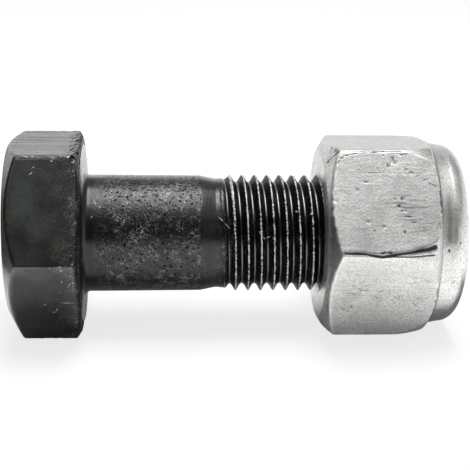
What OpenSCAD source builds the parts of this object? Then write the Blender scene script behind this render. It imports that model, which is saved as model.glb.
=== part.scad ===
// Hexagon head bolt with a plain shank and a short rolled thread, and its lock nut with a nylon ring.
// All sizes are in millimetres. The axis runs along X, from the head towards the tip, and the bolt
// lies on one flat of its head with Z up. The origin is on the axis, in the plane the head clamps with.

/* [Thread] */
// Nominal diameter of the thread
thread_d = 14; // [12:0.5:15]
// Distance from one crest of the thread to the next
pitch = 1.5; // [1:0.25:2]
// How far the crests stay inside the nominal radius
crest_allowance = 0.05; // [0:0.01:0.15]
// Play between the threads of bolt and nut, measured along the radius
thread_play = 0.12; // [0.08:0.01:0.2]
// Facets around one turn of the thread
turn_steps = 48; // [24:4:60]

/* [Bolt head] */
// Width across the flats of the head
head_af = 22; // [19:0.5:27]
// Height of the head, with its washer face
head_h = 8.8; // [6:0.1:12]
// How much smaller than the width across flats the flat end of the head is
head_end_rim = 2; // [0.6:0.1:4]
// Slope of the chamfer round the end of the head, in degrees
head_chamfer_angle = 32; // [15:1:40]
// Diameter of the washer face under the head
washer_face_d = 21; // [18:0.1:21.8]
// Height of the washer face
washer_face_h = 0.15; // [0.05:0.05:0.6]
// Slope of the relief on the corners beside the washer face, in degrees
corner_relief_angle = 23; // [10:1:45]

/* [Bolt shank] */
// Diameter of the plain shank
shank_d = 13.9; // [13.4:0.1:15]
// Length of the plain shank, from under the head to where it narrows
shank_l = 13.7; // [6:0.1:20]
// Radius of the fillet between head and shank
head_fillet = 0.8; // [0.4:0.1:1.2]
// Length over which the shank narrows to the stretch that the thread is rolled on
neck_taper = 1.8; // [0.6:0.1:3]
// Length of the narrow stretch left plain before the thread
neck_l = 0.7; // [0.2:0.1:3]
// Length of the bolt from under the head to the tip
bolt_l = 40; // [36:0.5:60]
// Length over which the first turn of thread comes to its full depth
run_out = 1.2; // [0.6:0.1:3]
// How far inside the thread's root the flat end of the tip lies
tip_inset = 0.3; // [0:0.1:1]

/* [Nut] */
// Distance from under the head to the nut
nut_at = 27.85; // [19:0.05:40]
// Turn of the nut about the axis against the head, in degrees
nut_turn = -5.5; // [-30:0.5:30]
// Width across the flats of the nut
nut_af = 22; // [21:0.5:27]
// Height of the nut's hexagon, up to its collar
nut_hex_h = 12.9; // [11:0.1:18]
// Diameter of the flat face that the nut clamps with
nut_face_d = 20.2; // [17:0.1:20.8]
// Slope of the chamfer beside that face, in degrees
nut_chamfer_angle = 29; // [15:1:40]
// Diameter of the countersink at the mouth of the nut's thread
mouth_d = 14.8; // [14.4:0.1:16.5]
// Length of the stretch below the collar where the corners are crowned
crown_l = 5.4; // [2:0.1:8]
// How far the crown takes the corners in
crown_drop = 0.8; // [0.1:0.05:1.7]
// Length of the shoulder from the crowned corners to the collar
shoulder_l = 0.6; // [0.2:0.1:1.5]

/* [Collar and ring] */
// Outer diameter of the collar where it leaves the hexagon
collar_d = 21.8; // [20.8:0.1:22]
// Length of the nearly straight stretch of the collar
collar_l = 1.4; // [0.2:0.1:2]
// How much the collar narrows in diameter over that stretch
collar_draft = 0.5; // [0:0.1:0.8]
// Length of the collar's rolled end
roll_l = 2.1; // [1.2:0.1:3]
// Diameter of the rolled end's outer edge
roll_end_d = 17; // [16.9:0.1:18.5]
// Thickness of the lip that holds the ring in
lip_h = 0.6; // [0.4:0.1:1]
// Diameter of the opening in the lip
lip_d = 16.2; // [15.6:0.1:16.6]
// Outer diameter of the nylon ring
ring_d = 17.7; // [17:0.1:18]
// Height of the nylon ring
ring_h = 2.6; // [1.5:0.1:3]
// Clearance between the ring and its pocket, all round
ring_gap = 0.05; // [0.02:0.01:0.15]
// Clearance between the ring's bore and the crests of the thread, measured along the radius
ring_bore_gap = 0.1; // [0.05:0.01:0.3]
// Chamfer at the two edges of the ring's bore
ring_edge = 0.35; // [0.1:0.05:0.6]

/* [Hidden] */
$fn = 96;

// The basic form of a metric thread: 60 degrees, with flats of an eighth of the pitch on the crests.
flank_angle = 30;
crest_share = 1 / 8;
root_depth_share = 0.6134;
pitch_line_share = 0.6495;
crest_r = thread_d / 2 - crest_allowance;
root_r = thread_d / 2 - root_depth_share * pitch;
crest_w = crest_share * pitch + 2 * crest_allowance * tan(flank_angle);
root_w = pitch - crest_w - 2 * (crest_r - root_r) * tan(flank_angle);

// Where a crest crosses the lowest line of the bolt, counted from under the head.
thread_phase = 0.06;

// The rolled blank has the thread's pitch diameter. The thread's body starts inside it, a hair below
// its surface, and grows out of it where the run-out starts.
blank_r = (thread_d - pitch_line_share * pitch) / 2;
blank_skin = 0.02;
blank_overlap = 1;
thread_from = shank_l + neck_taper + neck_l;
tip_r = root_r - tip_inset;

head_r = head_af / 2 / cos(30);
head_end_r = (head_af - head_end_rim) / 2;
relief_from_r = head_af / 2 + head_af / 44;
nut_r = nut_af / 2 / cos(30);

// Places along the nut, counted from its clamping face.
nut_h = nut_hex_h + collar_l + roll_l;
pocket_to = nut_h - lip_h;
pocket_from = pocket_to - ring_h - 2 * ring_gap;
minor_r = root_r + thread_play;

// Cuts reach this far past the faces that they open, or into the space that another cut clears.
past = 1;
bend_steps = 10;

function clamped(v, low, high) = min(max(v, low), high);
function blended(a, b, t) = a + (b - a) * t;

// Turns the parts' own axis, Z, to lie along X, with a flat of the hexagons downwards.
module along_x(from = 0) translate([from, 0, 0]) rotate([0, 90, 0]) children();

module hexagon(across_corners_r, height, turn = 0)
    rotate([0, 0, 30 + turn]) cylinder(r = across_corners_r, h = height, $fn = 6);

// The corners of one pitch of thread: crest, flank, root, flank. Each is [along the axis, radius].
function thread_form(grow) = [
    [-crest_w / 2, crest_r + grow],
    [crest_w / 2, crest_r + grow],
    [(pitch - root_w) / 2, root_r + grow],
    [(pitch + root_w) / 2, root_r + grow]
];

// One corner of the helical surface. The form is carried round and forwards together, held between
// two end planes, and the function radius_at trims it to what the place along the axis allows.
function helix_point(i, corner, first, from, to, radius_at) =
    let (turned = (i % turn_steps) * 360 / turn_steps,
         z = clamped(first + pitch * i / turn_steps + corner.x, from, to),
         r = radius_at(z, corner.y))
    [r * cos(turned), r * sin(turned), z];

// A closed rod with a right-hand thread between two flat ends. Corner j of step i is joined to the
// next corner and the next step, and the last corner of a turn to the first of the turn after it.
module threaded_rod(from, to, grow, radius_at) {
    form = thread_form(grow);
    corners = len(form);
    first = thread_phase + pitch * (ceil((from - thread_phase) / pitch) - 2);
    steps = turn_steps * ceil((to - first) / pitch + 2);
    grid = [for (i = [0 : steps], corner = form) helix_point(i, corner, first, from, to, radius_at)];
    start_centre = len(grid);
    end_centre = start_centre + 1;
    function at(i, j) = j < corners ? i * corners + j : (i + turn_steps) * corners;
    last_turn = steps - turn_steps;
    start_rim = concat([for (i = [0 : turn_steps]) at(i, 0)], [for (j = [corners - 1 : -1 : 1]) at(0, j)]);
    end_rim = concat([for (i = [last_turn : steps]) at(i, corners - 1)], [for (j = [corners - 2 : -1 : 0]) at(steps, j)]);
    skin = [
        for (i = [0 : steps - 1], j = [0 : corners - 1])
            if (j < corners - 1 || i < last_turn)
                each [[at(i, j), at(i, j + 1), at(i + 1, j + 1)], [at(i, j), at(i + 1, j + 1), at(i + 1, j)]]
    ];
    start_cap = [for (k = [0 : len(start_rim) - 1]) [start_rim[k], start_rim[(k + 1) % len(start_rim)], start_centre]];
    end_cap = [for (k = [0 : len(end_rim) - 1]) [end_rim[(k + 1) % len(end_rim)], end_rim[k], end_centre]];
    polyhedron(concat(grid, [[0, 0, from], [0, 0, to]]), concat(skin, start_cap, end_cap), convexity = 10);
}

// The head's hexagon inside its turned outline: chamfered end, and corners relieved beside the washer face.
module head() {
    under = -washer_face_h;
    chamfer_h = (head_r - head_end_r) * tan(head_chamfer_angle);
    relief_h = (head_r - relief_from_r) * tan(corner_relief_angle);
    intersection() {
        translate([0, 0, -head_h]) hexagon(head_r, head_h - washer_face_h);
        rotate_extrude() polygon([
            [0, -head_h],
            [head_end_r, -head_h],
            [head_r, -head_h + chamfer_h],
            [head_r, under - relief_h],
            [relief_from_r, under],
            [0, under]
        ]);
    }
}

// Washer face, fillet, shank, taper and rolled blank, turned as one outline.
module turned_body() {
    shank_r = shank_d / 2;
    sunk = washer_face_h + head_h / 4;
    fillet = [for (a = [0 : 90 / bend_steps : 90]) [shank_r + head_fillet * (1 - sin(a)), head_fillet * (1 - cos(a))]];
    rotate_extrude() polygon(concat(
        [[0, -sunk], [washer_face_d / 2, -sunk], [washer_face_d / 2, 0]],
        fillet,
        [[shank_r, shank_l], [blank_r, shank_l + neck_taper], [blank_r, thread_from], [0, thread_from]]
    ));
}

// The rolled thread, which grows from the blank over the run-out and is cut by the cone of the tip.
module rolled_thread()
    threaded_rod(thread_from - blank_overlap, bolt_l, 0, function (z, r)
        min(blended(blank_r - blank_skin, r, clamped((z - thread_from) / run_out, 0, 1)), tip_r + bolt_l - z));

module bolt() color("#34373a") along_x() {
    head();
    turned_body();
    rolled_thread();
}

// The nut's hexagon inside its turned outline: chamfer, crowned corners and the shoulder to the collar.
module nut_hexagon() {
    face_r = nut_face_d / 2;
    collar_r = collar_d / 2;
    crown_to = nut_hex_h - shoulder_l;
    crown_from = crown_to - crown_l;
    drop = min(crown_drop, nut_r - collar_r);
    crown = [for (k = [0 : bend_steps])
        [nut_r - drop * pow(k / bend_steps, 2), crown_from + crown_l * k / bend_steps]];
    intersection() {
        hexagon(nut_r, nut_hex_h, nut_turn);
        rotate_extrude() polygon(concat(
            [[0, 0], [face_r, 0], [nut_r, (nut_r - face_r) * tan(nut_chamfer_angle)]],
            crown,
            [[collar_r, nut_hex_h], [0, nut_hex_h]]
        ));
    }
}

// The thin collar, rolled over at its end to hold the ring.
module collar() {
    straight_to = nut_hex_h + collar_l;
    start_r = (collar_d - collar_draft) / 2;
    end_r = roll_end_d / 2;
    roll = [for (a = [0 : 90 / bend_steps : 90]) [end_r + (start_r - end_r) * cos(a), straight_to + roll_l * sin(a)]];
    sunk = nut_hex_h - shoulder_l;
    rotate_extrude() polygon(concat(
        [[0, sunk], [start_r, sunk], [collar_d / 2, nut_hex_h]],
        roll,
        [[0, nut_h]]
    ));
}

// The nut's thread as a solid. It fades out over the first and last stretch, which lie outside the thread.
module tap(from, to)
    threaded_rod(from, to, thread_play, function (z, r)
        blended(minor_r, r, clamped(min(z - from, to - z) / past, 0, 1)));

// What is cut from the nut: the thread, its countersunk mouth, the ring's pocket and the lip's opening.
// The thread is cut where the bolt's thread stands, so the two are in mesh wherever the nut is.
module nut_openings() {
    mouth_r = mouth_d / 2;
    translate([0, 0, -past])
        cylinder(r1 = mouth_r + past, r2 = minor_r - past, h = mouth_r - minor_r + 2 * past);
    translate([0, 0, pocket_from])
        cylinder(r = ring_d / 2 + ring_gap, h = pocket_to - pocket_from);
    translate([0, 0, pocket_from])
        cylinder(r = lip_d / 2, h = nut_h - pocket_from + past);
    translate([0, 0, -nut_at]) tap(nut_at - past, nut_at + pocket_from + past);
}

module lock_nut() color("#c8c9c6") along_x(nut_at) difference() {
    union() {
        nut_hexagon();
        collar();
    }
    nut_openings();
}

module nylon_ring() {
    bore_r = crest_r + ring_bore_gap;
    outer_r = ring_d / 2;
    color("#e6e4da") along_x(nut_at + pocket_from + ring_gap) rotate_extrude() polygon([
        [bore_r + ring_edge, 0],
        [outer_r, 0],
        [outer_r, ring_h],
        [bore_r + ring_edge, ring_h],
        [bore_r, ring_h - ring_edge],
        [bore_r, ring_edge]
    ]);
}

bolt();
lock_nut();
nylon_ring();
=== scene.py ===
"""Dresses a hexagon head bolt and its lock nut in worn black steel, bright zinc and nylon.

Every piece is a mesh that is built where it lies on the packed part, in metres, with the bolt's
axis along X and the origin under the head. Angles run from +Y towards +Z, about the axis.
"""

import math

import bmesh
import bpy
import numpy as np
from mathutils import Matrix, Vector, noise


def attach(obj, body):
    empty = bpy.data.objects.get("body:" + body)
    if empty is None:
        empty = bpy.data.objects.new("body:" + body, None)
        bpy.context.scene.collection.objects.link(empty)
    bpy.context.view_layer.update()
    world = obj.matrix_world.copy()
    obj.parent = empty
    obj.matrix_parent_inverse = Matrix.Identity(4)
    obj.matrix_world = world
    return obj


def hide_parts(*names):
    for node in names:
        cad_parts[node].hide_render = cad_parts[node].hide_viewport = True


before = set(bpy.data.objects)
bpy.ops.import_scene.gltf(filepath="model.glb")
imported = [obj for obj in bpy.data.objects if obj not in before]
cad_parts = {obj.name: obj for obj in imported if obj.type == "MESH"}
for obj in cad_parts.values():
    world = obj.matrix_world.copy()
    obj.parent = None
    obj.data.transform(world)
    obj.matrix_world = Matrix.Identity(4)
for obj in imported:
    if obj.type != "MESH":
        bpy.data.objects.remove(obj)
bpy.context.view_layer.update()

bl_info = {
    "name": "Bolt and lock nut",
    "version": (1, 0, 0),
    "blender": (4, 5, 0),
    "location": "3D View > Sidebar > Bolt",
    "description": "Builds a worn black bolt, its zinc-plated lock nut with a nylon ring, and a studio stage",
    "category": "Object",
}

MM = 0.001
FULL_TURN = 2 * math.pi
# The angle from one corner of a hexagon to the next, and from a corner to the middle of a flat.
SECTOR = math.pi / 3
HALF_SECTOR = math.pi / 6
# The slope of a metric thread's flanks.
FLANK_ANGLE = math.radians(30)
# Directions about the axis in which the head's rim lies furthest out, and its flat end stands highest.
RIM_SHIFT_AT = math.radians(65)
END_LEAN_AT = math.radians(72)
# The direction in which the crown of the nut's corners is shallowest.
CROWN_SHIFT_AT = math.radians(54.5)

# Roundings along the outlines, and into how many steps each straight between them is cut.
ROLL_STEPS = 8
HEAD_BENDS = (0, 0.25, 0.35, 0.16, 0.12, 0.05, 0.07, 0)
HEAD_STEPS = (14, 6, 38, 4, 3, 2, 6)
NUT_BENDS = (0, 0.2, 0.22, 0.25, 0.22, 0.22, 0.22, 0.12, 0.3, *[0.12] * ROLL_STEPS, 0.12, 0.05, 0.03, 0.03, 0)
NUT_STEPS = (6, 4, 54, 4, 4, 4, 3, 5, *[1] * ROLL_STEPS, 3, 3, 2, 4, 3)
RING_BENDS = (0, 0.2, 0.2, 0.12, 0.12, 0.12, 0.12, 0)
RING_STEPS = (3, 8, 3, 2, 6, 2, 3)
# Distance between the points across a flat, and points on a corner's rounding, of head and nut.
HEAD_GRID = (0.22 * MM, 7)
NUT_GRID = (0.17 * MM, 11)
# Steps in one turn of the bolt's thread, of the nut's, of the pocket's floor and of the ring.
THREAD_TURN_STEPS, NUT_TURN_STEPS, FLOOR_TURN_STEPS, RING_TURN_STEPS = 96, 72, 144, 128
TIP_RINGS = 8
# Points of one mesh that lie nearer to each other than this are merged.
MERGE_WITHIN = 2e-7
# The least that the head's corners slope back, how far inside its flats the face beside the washer
# face ends, and how far the head's skin reaches over the fillet.
LEAST_RELIEF, FACE_INSET, FILLET_OVERLAP = 0.10 * MM, 0.16 * MM, 0.12 * MM
# Rounding of the thread's crests and of the bolt's rolled roots.
CREST_BEND, ROOT_BEND = 0.05 * MM, 0.3 * MM
# How softly the shank's taper begins and ends, and place and width of the bulge before the thread.
TAPER_EASE, LIP_BEFORE, LIP_WIDTH = 0.1, 0.05 * MM, 0.16 * MM
# Places on the crown of the nut's corners, and how far its shoulder eases towards the collar there.
CROWN_SHARES, CROWN_EASE = (0.35, 0.7, 1.0), 0.12
# Radii to which the floor of the ring's pocket reaches in from outside, and out from the thread.
POCKET_INNER_R, THREAD_WALL_R = 7.2 * MM, 7.25 * MM

# Waves pressed into bolt and nut: size, depth and octaves. Chips in their edges: size and depth.
BOLT_WAVES, BOLT_CHIPS = [(2.5, 0.018, 2), (0.6, 0.006, 1)], (0.5, 0.08)
NUT_WAVES, NUT_CHIPS = [(2.2, 0.010, 2), (0.6, 0.004, 1)], (0.5, 0.03)
# Seeds of the noises that wear the bolt, wear the nut and tear its corner.
BOLT_SEED, NUT_SEED, TORN_SEED = 1, 2, 5
# Radius that counts as sharp on the head, on the shank and on the nut, and how sharp an edge begins.
HEAD_EDGE_R, SHANK_EDGE_R, NUT_EDGE_R, EDGE_FROM = 0.35 * MM, 0.12 * MM, 0.35 * MM, 0.35

# Dents that the photograph shows on the nut: place along it and angle of the middle, then length,
# width, depth, and how far the dent slants from the axis. Millimetres and degrees.
NUT_DENTS = [
    (4.35, 131.9, 0.42, 0.12, 0.10, 0),
    (3.29, 136.8, 0.26, 0.22, 0.07, 40),
    (7.48, 118.8, 0.22, 0.50, 0.09, 20),
    (7.85, 121.0, 0.20, 0.30, 0.08, -30),
    (7.05, 122.5, 0.26, 0.24, 0.07, 0),
    (8.56, 116.5, 0.22, 0.20, 0.09, 0),
    (6.40, 115.2, 0.30, 0.16, 0.08, 0),
    (9.01, 124.9, 0.25, 0.16, 0.07, -40),
    (9.69, 126.1, 0.35, 0.12, 0.06, -25),
    (10.3, 128.3, 0.50, 0.10, 0.07, -35),
    (11.2, 130.6, 0.60, 0.09, 0.06, -20),
    (8.46, 142.3, 0.30, 0.24, 0.08, 0),
    (7.55, 142.3, 0.18, 0.16, 0.06, 0),
    (8.00, 146.6, 0.26, 0.22, 0.07, 20),
    (8.50, 149.8, 0.70, 0.09, 0.05, -8),
    (8.90, 153.6, 0.75, 0.11, 0.06, 2),
    (9.60, 156.6, 0.45, 0.08, 0.05, 0),
    (4.46, 156.3, 0.22, 0.22, 0.08, 30),
    (4.70, 159.8, 0.30, 0.08, 0.05, 0),
    (6.10, 159.4, 0.42, 0.12, 0.08, -12),
    (8.40, 162.0, 0.14, 0.25, 0.05, 0),
    (0.75, 143.4, 0.40, 0.12, 0.12, 10),
    (12.3, 159.0, 0.10, 0.50, 0.08, 25),
    (14.9, 169.5, 0.12, 0.40, 0.07, 35),
    (13.7, 173.0, 0.10, 0.40, 0.05, 20),
]
# Folds pressed into the metal beside the nut's edges, and darkened with painted shade: places along the nut,
# angles, width and depth.
NUT_FOLDS = [
    [
        (1.6, 173.3, 0.12, 0.05),
        (2.9, 173.3, 0.18, 0.07),
        (4.1, 173.6, 0.14, 0.06),
        (5.8, 174.9, 0.24, 0.10),
        (6.7, 174.2, 0.26, 0.10),
        (7.6, 173.6, 0.18, 0.08),
        (8.9, 173.0, 0.20, 0.09),
        (10.0, 171.9, 0.26, 0.11),
        (11.1, 171.2, 0.32, 0.12),
        (11.8, 170.2, 0.36, 0.08),
    ],
    [(6.4, 174.8, 0.06, 0.03), (9.0, 174.9, 0.07, 0.03), (11.8, 174.5, 0.09, 0.03)],
    [(1.0, 114.6, 0.08, 0.03), (3.2, 114.9, 0.07, 0.03), (5.8, 114.7, 0.09, 0.05), (8.6, 115.0, 0.07, 0.03)],
]
# Dark lines drawn on the nut: places along it and angles of their ends, with a width.
NUT_LINES = [
    (0.20, [(1.2, 121.6), (1.53, 119.3), (2.0, 117.9), (2.7, 116.9), (3.63, 116.3)]),
    (0.20, [(3.63, 116.3), (4.78, 115.9), (6.1, 115.7)]),
    (0.14, [(6.85, 116.0), (8.45, 116.3), (10.2, 116.7)]),
    (0.12, [(1.1, 110.2), (2.3, 112.9), (4.1, 113.6), (5.8, 113.5), (7.6, 112.4)]),
    (0.10, [(2.6, 126.4), (7.1, 126.6), (11.5, 126.7)]),
    (0.14, [(11.3, 131.9), (12.6, 135.0)]),
    (0.24, [(6.35, 117.0), (6.75, 117.5)]),
    (0.20, [(8.4, 117.6), (8.8, 116.3)]),
    (0.14, [(2.3, 201.8), (2.7, 201.0), (3.3, 201.9)]),
    (0.13, [(3.6, 197.8), (4.1, 199.4), (4.8, 198.6)]),
    (0.13, [(5.8, 200.3), (6.6, 199.3)]),
    (0.12, [(7.6, 203.4), (8.7, 207.2)]),
    (0.12, [(10.1, 209.5), (11.0, 213.6)]),
    (0.34, [(5.5, 173.2), (6.3, 172.5), (7.0, 173.0)]),
]
# Where the nut's brushed lines are deepest: place, angle, length, width, depth and slant.
NUT_BRUSHED = [(8.9, 146.0, 2.4, 1.5, 0, 0), (10.2, 153.0, 2.0, 2.2, 0, 0)]
# Where the nut's zinc has fine cracks: low on its flat and collar, by the angle and the place along it.
CRACKED_ROUND_NUT = ((174, 180, 194, 206, 216, 228), (0, 0.45, 0.6, 1, 0.7, 0))
CRACKED_ALONG_NUT = ((0.8, 2.2, 11.0, 12.4, 13.6, 15.4, 16.2), (0, 1, 1, 0.6, 1, 1, 0))
# Painted reflection: dull streaks round the nut's collar, in place of a dark reflection there. Place along
# it, half width, angles and how dull it is there.
COLLAR_REFLECTION_STREAKS = [
    (13.75, 0.26, (136, 143, 166, 172), (0, 0.85, 0.95, 0)),
    (15.05, 0.40, (156, 162, 168, 172), (0, 0.6, 0.6, 0)),
]
# Painted glints on the nut's upper edge: place, angle, length, width and slant.
NUT_GLINTS = [(6.42, 115.2, 0.50, 0.42, 0), (8.60, 115.0, 0.34, 0.30, 20), (1.75, 115.6, 0.9, 0.55, -20)]
# Fine strokes on the black steel: place along the axis, angle, length, width and slant.
BOLT_STROKES = [
    (-5.36, 128.5, 0.62, 0.11, -39),
    (-5.10, 125.4, 0.48, 0.07, -34),
    (-4.01, 210.3, 0.20, 0.18, 0),
    (-2.73, 215.0, 0.50, 0.10, -70),
    (-3.05, 217.2, 0.35, 0.10, -25),
    (-1.45, 208.6, 2.00, 0.07, 2),
    (-1.91, 190.3, 0.25, 0.14, 0),
    (-1.05, 192.8, 0.62, 0.10, -66),
    (-2.20, 199.5, 0.18, 0.12, 0),
    (-2.90, 118.4, 0.35, 0.22, 10),
    (-1.30, 120.2, 0.40, 0.20, -30),
    (-3.05, 122.3, 0.22, 0.16, 60),
    (15.95, 148.6, 1.10, 0.08, 48),
    (16.75, 155.6, 1.15, 0.08, 42),
    (20.50, 163.4, 0.75, 0.14, 60),
    (20.95, 168.2, 0.55, 0.14, 45),
    (21.45, 167.6, 0.75, 0.14, -28),
    (22.05, 168.8, 0.60, 0.14, 52),
    (26.46, 143.6, 0.38, 0.36, 0),
    (28.30, 143.4, 0.38, 0.36, 0),
    (24.75, 140.4, 0.50, 0.14, 50),
    (1.55, 132.4, 0.75, 0.07, 58),
    (2.10, 137.0, 0.45, 0.07, 40),
    (1.20, 147.5, 0.40, 0.07, -65),
    (4.90, 150.5, 0.45, 0.08, -50),
]
# How thickly fine nicks lie along the bolt, and how hazy it is: places in millimetres, and shares.
SPECKS_ALONG_BOLT = (
    (-9, -3, -0.1, 0, 1, 3, 13.5, 13.7, 15.5, 15.7, 16.2, 16.7, 41),
    (0.1, 0.15, 0.5, 0, 0, 1, 1, 0.15, 0.15, 0.5, 0.5, 0.3, 0.3),
)
HAZE_ALONG_BOLT = ((-9, -0.5, -0.3, 1.5, 15.6, 16.4, 41), (1, 1, 0.1, 0.15, 0.2, 0, 0))
# How much of that haze lies on the head, and how bright the painted reflection in the thread's roots is, by
# the angle.
HAZE_ROUND_HEAD = ((0, 180, 190, 300, 360), (1, 1, 0.5, 0.5, 1))
ROOT_SHEEN_ROUND_BOLT = ((0, 90, 140, 147, 171, 178, 240, 360), (1, 1, 1, 0.10, 0.10, 0.65, 0.65, 1))
# How easily the bolt's edges are worn bare along it, and the head's front edge by itself.
WEAR_ALONG_BOLT = ((-9, -1.2, -0.6, -0.4, 0, 15.8, 16.3, 41), (0.35, 0.35, 0.3, 0.1, 0.2, 0.5, 1, 1))
WEAR_ALONG_FRONT_EDGE = ((-3.2, -2.2), (0, 1))
# Hazy patches on the head, and a brown stain: place, angle, length, width, depth and slant.
HEAD_PATCHES = [(-6.1, 144.0, 1.1, 1.9, 0, 0), (-4.6, 158.0, 1.6, 1.2, 0, 0), (-2.6, 131.0, 1.2, 1.6, 0, 0)]
HEAD_STAINS = [(-2.3, 170.3, 0.8, 0.5, 0, 0)]
# How bare the clamping face under the head is, by the angle.
BARE_ROUND_FACE = ((0, 104, 132, 218, 238, 360), (1, 1, 0, 0, 0.8, 1))
# The direction of the hatching beside the clamping face, on the head's top flat.
HATCH_SLANT = math.radians(72)
# The two deepest scores along the head's top flat, and a dark spot at its corner.
HEAD_SCORES = [
    (-0.70, 119.8, 0.9, 0.9, 0),
    (-4.2, 77.5, 8.0, 0.15, 0.4),
    (-4.4, 84.4, 7.6, 0.12, -0.4),
]
# The head's top flat by its height, and where hatching lies along it.
TOP_FLAT = ((10.4, 10.8), (0, 1))
HATCH_ALONG_HEAD = ((-1.7, -1.3, -0.1), (0, 1, 1))
# How thick bright flecks lie beside the head's corners, how far they reach, and along its front rim.
FLECKS_BY_CORNER = ((-3.5, -3.1, -2.4, -1.6, -1.1, -0.9), (0, 1, 0.4, 1, 1, 0))
CORNER_REACH = 0.7
FLECKS_BY_RIM = ((-1.8, -1.0, -0.75, -0.4, -0.25), (0, 0.3, 1, 1, 0))
# Half the angle that the head's front corner takes up, where its edge is worn in another way.
FRONT_CORNER = math.radians(10)
# Marks on the thread: how far in they begin, how softly they end, how bare the crests are, and how
# far before the tip that ends. The first crest's mark is this much longer than its run-out.
MARK_FADE, LINE_FADE, CREST_WEAR, WEAR_BEFORE_TIP, FIRST_MARK = 0.2, 0.04 * MM, 0.66, 1.2 * MM, 1.6
# How far beyond their edges crests and roots are marked, as shares of the line's soft edge.
CREST_SPREAD, ROOT_SPREAD = 0.6, 1.7
# The matt band under the head, from its middle, and how near the clamping face a point lies on it.
BAND_AT, BAND_HALF, FACE_REACH = -0.2 * MM, 0.3 * MM, 0.08 * MM
# How far inside the collar's radius the outside of the nut begins.
OUTSIDE_FROM = 0.3 * MM
# A line of painted shade beside the collar, where it meets the hexagon: how far past the hexagon it lies, its
# width and how dark it is.
GROOVE_AT, GROOVE_WIDTH, GROOVE_SHADE = 0.02, 0.09, 0.45
# The torn patch at the nut's upper corner: its angle and half width, its place, grain and depth.
TORN_AT, TORN_HALF, TORN_ALONG = 112, 8, ((0.2, 1.4, 2.2), (1, 1, 0))
TORN_GRAIN, TORN_DEPTH = 0.45 * MM, 0.10 * MM
# The dull line round the nut's chamfer, by the angle, and its half width.
TURNED_ROUND_NUT, TURNED_HALF = ((135, 152, 215, 235), (0, 0.9, 0.9, 0.2)), 0.05

# Noises in the finishes: how fine they are, to the metre, their detail and their roughness.
NOISES = {
    "black cloud": (230, 4.0, 0.6),
    "grain": (2400, 3.0, 0.65),
    "fine grain": (4400, 3.0, 0.65),
    "edge": (3600, 3.0, 0.65),
    "zinc cloud": (260, 5.0, 0.6),
    "mottle": (1300, 4.0, 0.62),
    "sand": (5200, 2.0, 0.6),
    "nylon cloud": (300, 3.0),
}
# Spots in them: fineness and detail, the noise's level where a spot begins and where it is full,
# and how full it gets.
SPOTS = {
    "brown": (150, 2.0, 0.64, 0.76, 0.6),
    "dots": (3800, 2.0, 0.66, 0.73),
    "dotted": (420, 3.0, 0.36, 0.60),
    "flecks": (3600, 2.0, 0.60, 0.70),
    "flecked": (700, 2.0, 0.42, 0.60, 0.8),
    "drawn": (1.0, 2.0, 0.56, 0.66, 0.8),
    "hatch": (1.0, 1.0, 0.50, 0.60),
    "pocked": (3300, 2.0, 0.58, 0.66, 0.9),
    "pits": (1900, 2.0, 0.70, 0.77),
    "pitted": (330, 2.0, 0.46, 0.6),
    "torn": (3600, 3.0, 0.38, 0.56),
}
# Thin curls: fineness, width, share of the surface that has them, and how softly they fade out.
BLACK_CURLS = [(1900, 0.032, 0.54, 0.24), (3400, 0.040, 0.50, 0.24)]
ZINC_CURLS = (1500, 0.030, 0.55, 0.25)
# How far noises are drawn out along the axis: scores, brushed lines, curls and turned nylon.
SCORE_GRAIN, BRUSH_GRAIN = (60, 8200, 8200), (420, 3400, 3400)
CURL_GRAIN, NYLON_GRAIN = (0.6, 1, 1), (9000, 300, 300)
HATCH_GRAIN = (1.6 * MM, 0.17 * MM, 1.6 * MM)
# How strokes are shaken, by fineness and amount, how deep their bodies reach, and how soft they end.
BOLT_SHAKE, NUT_SHAKE = (1600, 0.16 * MM), (1500, 0.14 * MM)
BOLT_STROKE_DEPTH, SCORE_DEPTH, NUT_STROKE_DEPTH, STROKE_CORE = 4 * MM, 1.6 * MM, 0.8 * MM, 0.55
# Colours under those that the finishes hold: a stain, scores, and the white of the painted highlights on the
# nut's edges.
STAIN_BROWN, SCORE_BLACK, HIGHLIGHT_WHITE = (0.105, 0.10, 0.06), (0.004, 0.004, 0.004), (0.86, 0.86, 0.84)

# The planes that the stage's cloths lie in: across and up.
FLAT, FACING, BESIDE = ((1, 0, 0), (0, 1, 0)), ((1, 0, 0), (0, 0, 1)), ((0, 1, 0), (0, 0, 1))
# The cloths: name, centre, plane, half width, half height, and the setting with their brightness.
CLOTHS = [
    ("halo", (0.1, -0.1, 0.505), FLAT, 0.5, 0.34, "halo_grey"),
    ("canopy", (0.015, 0.395, 0.508), FLAT, 1.5, 0.845, "canopy_grey"),
    ("front_canopy", (-0.4825, -0.975, 0.508), FLAT, 1.0025, 0.525, "shade_grey"),
    ("right_canopy", (1.02, -0.975, 0.508), FLAT, 0.5, 0.525, "right_grey"),
    ("front_cloth", (0.015, -1.5, 0.2525), FACING, 1.5, 0.2525, "front_grey"),
    ("left_cloth", (-0.45, -0.3, 0.2), BESIDE, 0.6, 0.21, "left_grey"),
    ("floor_cloth", (-0.163, 0.10, -0.0113), FLAT, 0.136, 0.15, "shade_grey"),
    # Painted shadow: the two shades on the floor, under the shank and the collar, darken the floor's
    # reflection there.
    ("shank_shade", (0.0075, 0.0235, -0.0114), FLAT, 0.009, 0.0315, "shade_grey"),
    ("collar_shade", (0.051, 0.021, -0.0114), FLAT, 0.010, 0.029, "shade_grey"),
]
FLOOR_AT, FLOOR_HALF = 0.015, 3
# The floor's paint, and how far the camera sees it as plain white instead.
FLOOR_PAINT, FLOOR_WHITE = (0.86, 0.86, 0.86, 1), 0.78
LAMP_PLACE, LAMP_SIZE = (0.055, 0.04, 0.5), (0.19, 0.386)
WHITE = (1, 1, 1, 1)
# The camera's sensor in millimetres, and how near and how far it sees.
SENSOR_WIDTH, NEAREST, FURTHEST = 36, 0.01, 20


# Outlines and grids


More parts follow.
